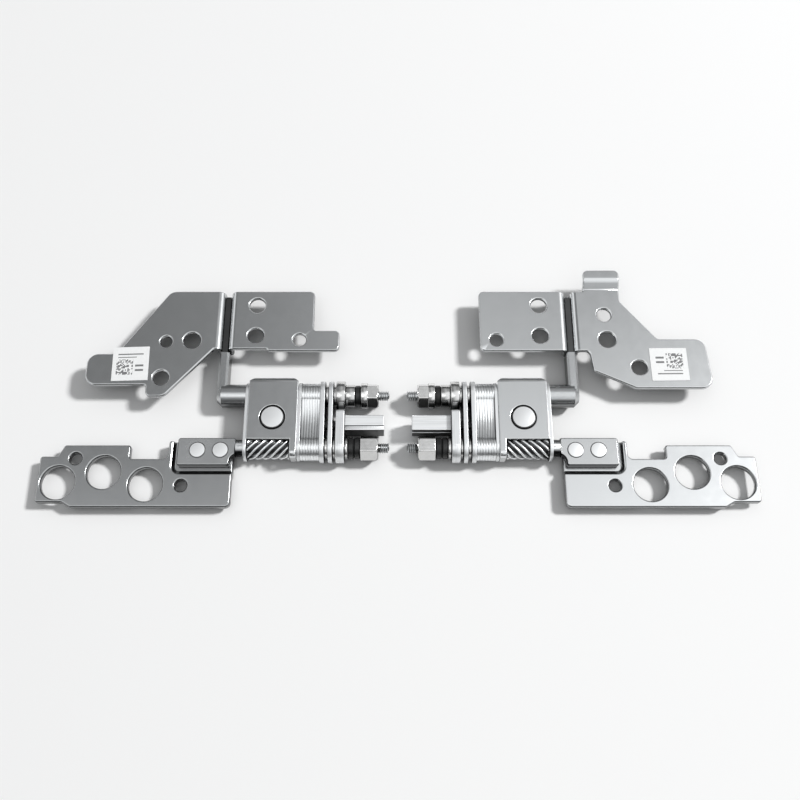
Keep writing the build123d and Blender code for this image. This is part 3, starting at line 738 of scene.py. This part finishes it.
# The edge break of each solid that has one
EDGE_BREAKS: tuple[tuple[EdgeBreak, tuple[str, ...]], ...] = (
    (EdgeBreak(0.22 * MM, segments=3, profile=0.3, harden=True), ("base_bracket",)),
    (EdgeBreak(0.22 * MM, segments=3, profile=0.3), ("lid_bracket",)),
    (EdgeBreak(0.16 * MM, segments=3, profile=0.3, angle=math.radians(82.0)), ("base_shaft",)),
    (EdgeBreak(0.12 * MM), ("gear_cover", "stop_plate")),
    (EdgeBreak(0.10 * MM), ("stop_block",)),
    (EdgeBreak(0.08 * MM), ("link_plate_a", "link_plate_b", "base_nut", "lid_nut", "lid_collar")),
    (EdgeBreak(0.06 * MM), ("outer_end_plate", "inner_end_plate", "base_spacer", "lid_spacer")),
    (EdgeBreak(0.05 * MM), ("base_washers", "lid_washers")),
)


@dataclass
class PlateStack:
    """The friction plates of a hinge: one waisted plate blanked, rounded and stacked along the shafts."""

    name: str
    start: Point
    direction: int
    spread: float
    slot: str
    body: str
    stands_for: str
    count: int = 7
    pitch: float = 0.4 * MM
    seam: float = 0.03 * MM
    end_r: float = 1.87 * MM
    bore_r: float = 1.27 * MM
    waist: float = 1.45 * MM
    edge: float = 0.055 * MM
    edge_segments: int = 2
    edge_angle: float = math.radians(40.0)
    facets: int = 64

    def disc(self, side: int, radius: float, thickness: float) -> bpy.types.Object:
        """Return a round blank on one of the shafts.

        Args:
            side: sign of the shaft's Y from the middle.
            radius: the blank's radius.
            thickness: its length along the shaft.

        Returns:
            The blank.
        """
        clear_selection()
        x, y, z = self.start
        middle = x + self.direction * self.pitch / 2
        bpy.ops.mesh.primitive_cylinder_add(
            vertices=self.facets, radius=radius, depth=thickness,
            location=(middle, y + side * self.spread, z), rotation=(0.0, math.pi / 2, 0.0),
        )
        return bpy.context.object

    def join(self, plate: bpy.types.Object, tool: bpy.types.Object, operation: str) -> None:
        """Add a blank to the plate or cut it from the plate.

        Args:
            plate: the plate.
            tool: the blank, which is used up.
            operation: UNION or DIFFERENCE.
        """
        clear_selection()
        plate.select_set(True)
        bpy.context.view_layer.objects.active = plate
        merge = plate.modifiers.new("merge", "BOOLEAN")
        merge.operation = operation
        merge.object = tool
        bpy.ops.object.modifier_apply(modifier=merge.name)
        bpy.data.objects.remove(tool)

    def build(self, material: bpy.types.Material) -> bpy.types.Object:
        """Return the stack.

        Args:
            material: its finish.

        Returns:
            The piece.
        """
        thickness = self.pitch - self.seam
        clear_selection()
        x, y, z = self.start
        bpy.ops.mesh.primitive_cube_add(size=1.0, location=(x + self.direction * self.pitch / 2, y, z))
        plate = bpy.context.object
        plate.scale = (thickness, 2 * self.spread, 2 * self.waist)
        bpy.ops.object.transform_apply(location=True, rotation=True, scale=True)
        for side in (-1, 1):
            self.join(plate, self.disc(side, self.end_r, thickness), "UNION")
        for side in (-1, 1):
            self.join(plate, self.disc(side, self.bore_r, 3 * thickness), "DIFFERENCE")
        bevel = plate.modifiers.new("edge", "BEVEL")
        bevel.width = self.edge
        bevel.segments = self.edge_segments
        bevel.limit_method = "ANGLE"
        bevel.angle_limit = self.edge_angle
        bpy.ops.object.modifier_apply(modifier=bevel.name)
        stack = plate.modifiers.new("stack", "ARRAY")
        stack.count = self.count
        stack.use_relative_offset = False
        stack.use_constant_offset = True
        stack.constant_offset_displace = (self.direction * self.pitch, 0.0, 0.0)
        bpy.ops.object.modifier_apply(modifier=stack.name)
        settle(plate, self.name, material)
        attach(plate, self.body)
        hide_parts(self.stands_for)
        return plate


@dataclass
class RivetCap:
    """The peened top of a rivet: a flat disc on a low collar that slopes down round it."""

    name: str
    centre: Point
    radius: float
    height: float
    slot: str
    body: str
    collar: float = 0.13 * MM
    facets: int = 48

    def build(self, material: bpy.types.Material) -> bpy.types.Object:
        """Return the cap, modelled from a low cylinder.

        Args:
            material: its finish.

        Returns:
            The piece.
        """
        clear_selection()
        x, y, z = self.centre
        foot = self.height / 2
        bpy.ops.mesh.primitive_cylinder_add(
            vertices=self.facets, radius=self.radius, depth=foot, location=(x, y, z + foot / 2)
        )
        obj = bpy.context.object
        bpy.ops.object.mode_set(mode="EDIT")
        bpy.ops.mesh.select_all(action="DESELECT")
        bpy.ops.object.mode_set(mode="OBJECT")
        top = max(obj.data.polygons, key=lambda face: face.center.z)
        top.select = True
        bpy.ops.object.mode_set(mode="EDIT")
        bpy.ops.mesh.select_mode(type="FACE")
        bpy.ops.mesh.inset(thickness=self.collar, depth=self.height - foot)
        bpy.ops.object.mode_set(mode="OBJECT")
        settle(obj, self.name, material)
        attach(obj, self.body)
        return obj


@dataclass
class ThreadedTip:
    """The thread on a shaft's free tip, a ridge wound round the plain cylinder."""

    name: str
    start: Point
    direction: int
    radius: float
    length: float
    slot: str
    body: str
    pitch: float = 0.32 * MM
    crest: float = 0.11 * MM
    steps: int = 24
    flank: float = 0.42
    sunk: float = 0.15

    def build(self, material: bpy.types.Material) -> bpy.types.Object:
        """Return the thread, wound from a small triangle.

        Args:
            material: its finish.

        Returns:
            The piece.
        """
        clear_selection()
        x, y, z = self.start
        bpy.ops.mesh.primitive_circle_add(
            vertices=3, radius=1.0, fill_type="NOTHING", location=(0.0, 0.0, 0.0)
        )
        obj = bpy.context.object
        half = self.pitch * self.flank
        foot = -self.crest * self.sunk
        corners = ((-half, foot), (half, foot), (0.0, self.crest))
        for vertex, (along, out) in zip(obj.data.vertices, corners):
            vertex.co = (along, self.radius + out, 0.0)
        turns = (self.length - 2 * half) / self.pitch
        wind = obj.modifiers.new("wind", "SCREW")
        wind.axis = "X"
        wind.angle = math.tau * turns
        wind.screw_offset = self.direction * self.pitch * turns
        wind.steps = int(self.steps * turns)
        wind.render_steps = wind.steps
        bpy.ops.object.modifier_apply(modifier=wind.name)
        bpy.ops.object.mode_set(mode="EDIT")
        bpy.ops.mesh.select_all(action="SELECT")
        bpy.ops.mesh.fill_holes(sides=0)
        bpy.ops.mesh.normals_make_consistent(inside=False)
        bpy.ops.object.mode_set(mode="OBJECT")
        obj.location = (x + self.direction * half, y, z)
        settle(obj, self.name, material)
        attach(obj, self.body)
        return obj


@dataclass
class HingeLooks:
    """One hinge: a finish on every solid, and the small turned and peened details."""

    side: Side
    nodes: dict[str, bpy.types.Object]
    sheet_tone: float
    base_tone: float
    rivet_tone: float
    label_turn: float
    shaft_y: float = 4.14 * MM
    axis_z: float = 2.2 * MM
    frame_y: float = 5.66 * MM
    idler_x: float = 18.45 * MM
    toothed_to: float = 22.4 * MM
    fold_front: float = 5.28 * MM
    gear_root: float = 1.17 * MM
    gear_tip: float = 1.65 * MM
    idler_root: float = 2.43 * MM
    idler_tip: float = 2.91 * MM
    tip_x: float = 1.3 * MM
    tip_length: float = 1.6 * MM
    thread_r: float = 0.65 * MM
    rivet_r: float = 1.22 * MM
    rivet_proud: float = 0.05 * MM
    axle_r: float = 1.72 * MM
    stop_x: float = 7.86 * MM
    friction_x: float = 11.5 * MM
    cap_height: float = 0.09 * MM
    arm_tone: float = 0.62
    plate_tone: float = 0.9
    block_tone: float = 0.92
    ring_tone: float = 0.74
    nut_tone: float = 0.88
    axle_tone: float = 0.8
    thread_tone: float = 0.66
    pieces: list[bpy.types.Object] = field(default_factory=list)

    def node(self, name: str) -> bpy.types.Object:
        """Return one of this hinge's solids."""
        return self.nodes[self.side.prefix + name]

    def axis_point(self, shaft: Shaft) -> Point:
        """Return the point where a shaft's axis crosses the pair's middle."""
        return (0.0, shaft.value * self.shaft_y - self.frame_y, self.axis_z)

    def dress(self, names: tuple[str, ...], finish: Finish) -> None:
        """Give solids a finish.

        Args:
            names: the solids, without the hinge's prefix.
            finish: the finish, built once for all of them.
        """
        material = finish.build()
        for name in names:
            mesh = self.node(name).data
            mesh.materials.clear()
            mesh.materials.append(material)
            LOG.info("dressed %s%s with %s", self.side.prefix, name, material.name)

    def label_centre(self) -> Point:
        """Return the middle of the label's top."""
        low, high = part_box(self.side.prefix + "lid_label")
        return ((low.x + high.x) / 2, (low.y + high.y) / 2, high.z)

    def dress_solids(self) -> None:
        """Give every solid of this hinge its finish."""
        p = self.side.prefix
        base_axis = self.axis_point(Shaft.BASE)
        lid_axis = self.axis_point(Shaft.LID)
        idler_axis = (self.side.value * self.idler_x, -self.frame_y, self.axis_z)
        # Painted shade on the base sheet reaches its rounded edges as well as its walls, and is deeper than
        # on the other sheets.
        edge_shaded_sheet = SheetFinish(p + "base_sheet", self.base_tone, wall_shade=0.4, wall_to=0.93)
        cover = SheetFinish(p + "cover_sheet", self.sheet_tone * 1.04, grain=Grain.ALONG_Y)
        teeth = ToothFinish(p + "base_teeth", base_axis, "YZ", self.gear_root, self.gear_tip, self.toothed_to)
        idler = ToothFinish(p + "idler_teeth", idler_axis, "XY", self.idler_root, self.idler_tip)
        # The plates get painted shade on their sides, which look along the shafts.
        plates = PlatedFinish(
            p + "bright_plate", self.plate_tone, metal=0.7, roughness=0.3, grain=Grain.ACROSS_X,
            shaded_axis="X",
        )
        # The block gets painted shade on its front and back faces, and is darkened beyond stop_x from the
        # middle.
        milled = PlatedFinish(
            p + "milled_block", self.block_tone, metal=0.45, roughness=0.34, grain=Grain.ALONG_X,
            shaded_axis="Y", dark_from=self.stop_x,
        )
        lid_rings = TurnedFinish(p + "lid_ring", self.ring_tone, lid_axis)
        finishes: tuple[tuple[tuple[str, ...], Finish], ...] = (
            (("lid_bracket",), SheetFinish(p + "lid_sheet", self.sheet_tone)),
            (("base_bracket",), edge_shaded_sheet),
            (("gear_cover",), cover),
            (("base_shaft",), teeth),
            (("lid_shaft",), ForgedFinish(p + "forged_arm", self.arm_tone, self.fold_front)),
            (("idler_gear",), idler),
            (("link_plate_a", "link_plate_b", "outer_end_plate", "inner_end_plate", "stop_plate"), plates),
            (("friction_plates",), PlatedFinish(p + "hidden_plate", 0.80, grain=Grain.ACROSS_X)),
            (("stop_block",), milled),
            (("base_rivets", "idler_axle"), PlatedFinish(p + "ground_rivet", 0.6, roughness=0.3)),
            (("base_washers", "base_spacer"), TurnedFinish(p + "base_ring", self.ring_tone, base_axis)),
            (("lid_washers", "lid_spacer", "lid_collar"), lid_rings),
            (("base_nut",), TurnedFinish(p + "base_nickel", self.nut_tone, base_axis)),
            (("lid_nut",), TurnedFinish(p + "lid_nickel", self.nut_tone, lid_axis)),
            (("base_springs", "lid_springs"), BlackFinish(p + "black_spring")),
            (("lid_label",), PaperFinish(p + "label_paper", self.label_centre(), self.label_turn)),
        )
        for names, finish in finishes:
            self.dress(names, finish)

    def break_edges(self) -> None:
        """Round the sharp edges of the sheets, plates, blocks and nuts."""
        for edge_break, names in EDGE_BREAKS:
            for name in names:
                edge_break.apply(self.node(name))

    def add_plates(self) -> None:
        """Stack the friction plates."""
        p = self.side.prefix
        finish = PlatedFinish(p + "blanked_plate", self.plate_tone, roughness=0.26, grain=Grain.ACROSS_X)
        stack = PlateStack(
            name=p + "plate_stack",
            start=(self.side.value * self.friction_x, -self.frame_y, self.axis_z),
            direction=self.side.value,
            spread=self.shaft_y,
            slot="friction",
            body=p + "case",
            stands_for=p + "friction_plates",
        )
        self.pieces.append(stack.build(finish.build()))

    def add_caps(self) -> None:
        """Model the rivets' tops and the top of the idler's axle."""
        p = self.side.prefix
        rivet = PeenedFinish(p + "rivet_top", self.rivet_tone).build()
        axle = PeenedFinish(p + "axle_top", self.axle_tone).build()
        low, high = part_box(p + "base_rivets")
        middle_y = (low.y + high.y) / 2
        head_r = (high.y - low.y) / 2
        for number, x in enumerate((low.x + head_r, high.x - head_r), 1):
            foot = (x, middle_y, high.z - self.rivet_proud)
            cap = RivetCap(f"{p}rivet_top_{number}", foot, self.rivet_r, self.cap_height, "rivet", "base")
            self.pieces.append(cap.build(rivet))
        low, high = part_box(p + "idler_axle")
        centre = ((low.x + high.x) / 2, (low.y + high.y) / 2, high.z)
        cap = RivetCap(p + "axle_top", centre, self.axle_r, self.cap_height, "rivet", p + "case")
        self.pieces.append(cap.build(axle))

    def add_threads(self) -> None:
        """Wind the threads on the two shaft tips."""
        p = self.side.prefix
        steel = PlatedFinish(p + "thread_steel", self.thread_tone, roughness=0.26, grain=Grain.NONE).build()
        for shaft, body in ((Shaft.BASE, "base"), (Shaft.LID, p + "lid")):
            _, y, z = self.axis_point(shaft)
            thread = ThreadedTip(
                name=f"{p}{shaft.name.lower()}_thread",
                start=(self.side.value * self.tip_x, y, z),
                direction=self.side.value,
                radius=self.thread_r,
                length=self.tip_length,
                slot="shaft",
                body=body,
            )
            self.pieces.append(thread.build(steel))

    def build(self) -> None:
        """Dress the solids and add the details."""
        self.dress_solids()
        self.break_edges()
        self.add_plates()
        self.add_caps()
        self.add_threads()
        for piece in self.pieces:
            LOG.info("built %s", piece.name)


@dataclass
class Studio:
    """The white table, the soft lights and the camera."""

    target: Point = (0.3 * MM, -2.14 * MM, 2.2 * MM)
    elevation: float = math.radians(68.0)
    distance: float = 142.5 * MM
    lens: float = 42.75
    sensor: float = 36.0
    floor_size: float = 6.0
    key_from: Point = (0.95, 0.27, 1.0)
    key_power: float = 19.5
    key_size: float = 0.2
    fill_from: Point = (-0.25, -0.3, 1.0)
    fill_power: float = 1.0
    fill_size: float = 0.75
    light_distance: float = 1.5
    overhead: float = 0.46
    clip: Pair = (0.005, 20.0)
    dark_tone: float = 0.11
    panel_tone: float = 1.1
    crown_tone: float = 1.15
    ceiling_reach: float = 0.34

    def build_camera(self) -> None:
        """Set the camera at the photograph's angle."""
        data = bpy.data.cameras.new("camera")
        data.lens = self.lens
        data.sensor_width = self.sensor
        data.clip_start, data.clip_end = self.clip
        camera = bpy.data.objects.new("camera", data)
        bpy.context.scene.collection.objects.link(camera)
        target = Vector(self.target)
        back = Vector((0.0, -math.cos(self.elevation), math.sin(self.elevation)))
        camera.location = target + back * self.distance
        camera.rotation_euler = (-back).to_track_quat("-Z", "Y").to_euler()
        bpy.context.scene.camera = camera

    def build_floor(self) -> None:
        """Lay the table top."""
        clear_selection()
        bpy.ops.mesh.primitive_plane_add(size=self.floor_size, location=(0.0, 0.0, 0.0))
        floor = settle(bpy.context.object, "table", FloorFinish().build())

    def area_light(self, name: str, source: Point, power: float, size: float) -> None:
        """Add a square soft light aimed at the hinges.

        Args:
            name: the light's name.
            source: direction that it comes from.
            power: its power in watts.
            size: its side in metres.
        """
        data = bpy.data.lights.new(name, "AREA")
        data.energy = power
        data.size = size
        light = bpy.data.objects.new(name, data)
        bpy.context.scene.collection.objects.link(light)
        way = Vector(source).normalized()
        light.location = way * self.light_distance
        light.rotation_euler = (-way).to_track_quat("-Z", "Y").to_euler()

    def ceiling(self, g: Nodes, x: Socket, y: Socket) -> Socket:
        """Return the ceiling: brighter on the right, dark at the rear right, with a bright band in front.

        Args:
            g: the world's graph.
            x: how far a direction looks right.
            y: how far a direction looks back.

        Returns:
            The colour socket.
        """
        along = g.span(g.math("DIVIDE", x, self.ceiling_reach), 0.5, 1.0)
        tone = g.ramp(along, [
            (0.0, grey(0.20)),
            (0.35, grey(0.33)),
            (0.62, grey(0.86)),
            (1.0, grey(1.06)),
        ])
        rear = g.math("MULTIPLY", g.rise(y, 0.26, 0.52), g.rise(x, -0.08, 0.2))
        tone = g.mix(g.math("MULTIPLY", rear, 0.62), tone, grey(0.0))
        ahead = g.math("MULTIPLY", y, -1.0)
        crown = g.math("MULTIPLY", g.rise(y, -0.62, -0.30), g.rise(ahead, -0.34, -0.10))
        return g.mix(g.math("MULTIPLY", crown, 0.75), tone, grey(self.crown_tone))

    def build_world(self) -> None:
        """Surround the table: white panels at both sides, dark low front and back, a ceiling above."""
        world = bpy.data.worlds.new("studio")
        bpy.context.scene.world = world
        world.use_nodes = True
        g = Nodes(world.node_tree)
        output = g.add("ShaderNodeOutputWorld")
        shade = g.add("ShaderNodeBackground")
        x, y, z = g.split(g.coords.outputs["Generated"])
        behind = g.rise(y, -0.12, 0.12)
        before = g.math("SUBTRACT", 1.0, behind)
        back_rise = g.math("MULTIPLY", g.rise(z, 0.3, 0.62), behind)
        front_rise = g.math("MULTIPLY", g.rise(z, 0.42, 0.68), before)
        tone = g.mix(g.math("ADD", back_rise, front_rise), grey(self.dark_tone), self.ceiling(g, x, y))
        panels = g.math("MULTIPLY", g.rise(g.math("ABSOLUTE", x), 0.48, 0.72), g.rise(z, 0.1, 0.32))
        tone = g.mix(panels, tone, grey(self.panel_tone))
        rays = g.add("ShaderNodeLightPath")
        seen = g.math("MAXIMUM", rays.outputs["Is Camera Ray"], rays.outputs["Is Glossy Ray"])
        seen = g.math("MAXIMUM", seen, rays.outputs["Is Transmission Ray"])
        overhead = g.mix(g.rise(z, 0.25, 0.75), grey(0.0), grey(self.overhead))
        g.link(g.mix(seen, overhead, tone), shade.inputs["Color"])
        g.link(shade.outputs["Background"], output.inputs["Surface"])

    def build(self) -> None:
        """Set up the whole studio."""
        bpy.context.scene.view_settings.view_transform = "Standard"
        self.build_camera()
        self.build_floor()
        self.area_light("key", self.key_from, self.key_power, self.key_size)
        self.area_light("fill", self.fill_from, self.fill_power, self.fill_size)
        self.build_world()
        LOG.info("studio is set")


def main() -> None:
    """Load the solids, dress both hinges and set up the studio."""
    logging.basicConfig(level=logging.INFO, format="%(name)s: %(message)s")
    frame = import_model()
    Studio().build()
    # The left hinge's sheet, base and rivet tones are darker than the right one's: painted shade, standing in
    # for the dimmer light on the left of the pair.
    hinges = (
        HingeLooks(
            Side.LEFT, frame["nodes"],
            sheet_tone=0.66, base_tone=0.60, rivet_tone=0.84, label_turn=math.radians(1.8),
        ),
        HingeLooks(
            Side.RIGHT, frame["nodes"],
            sheet_tone=0.74, base_tone=0.80, rivet_tone=0.95, label_turn=math.radians(180.5),
        ),
    )
    for hinge in hinges:
        hinge.build()


if __name__ == "__main__":
    main()
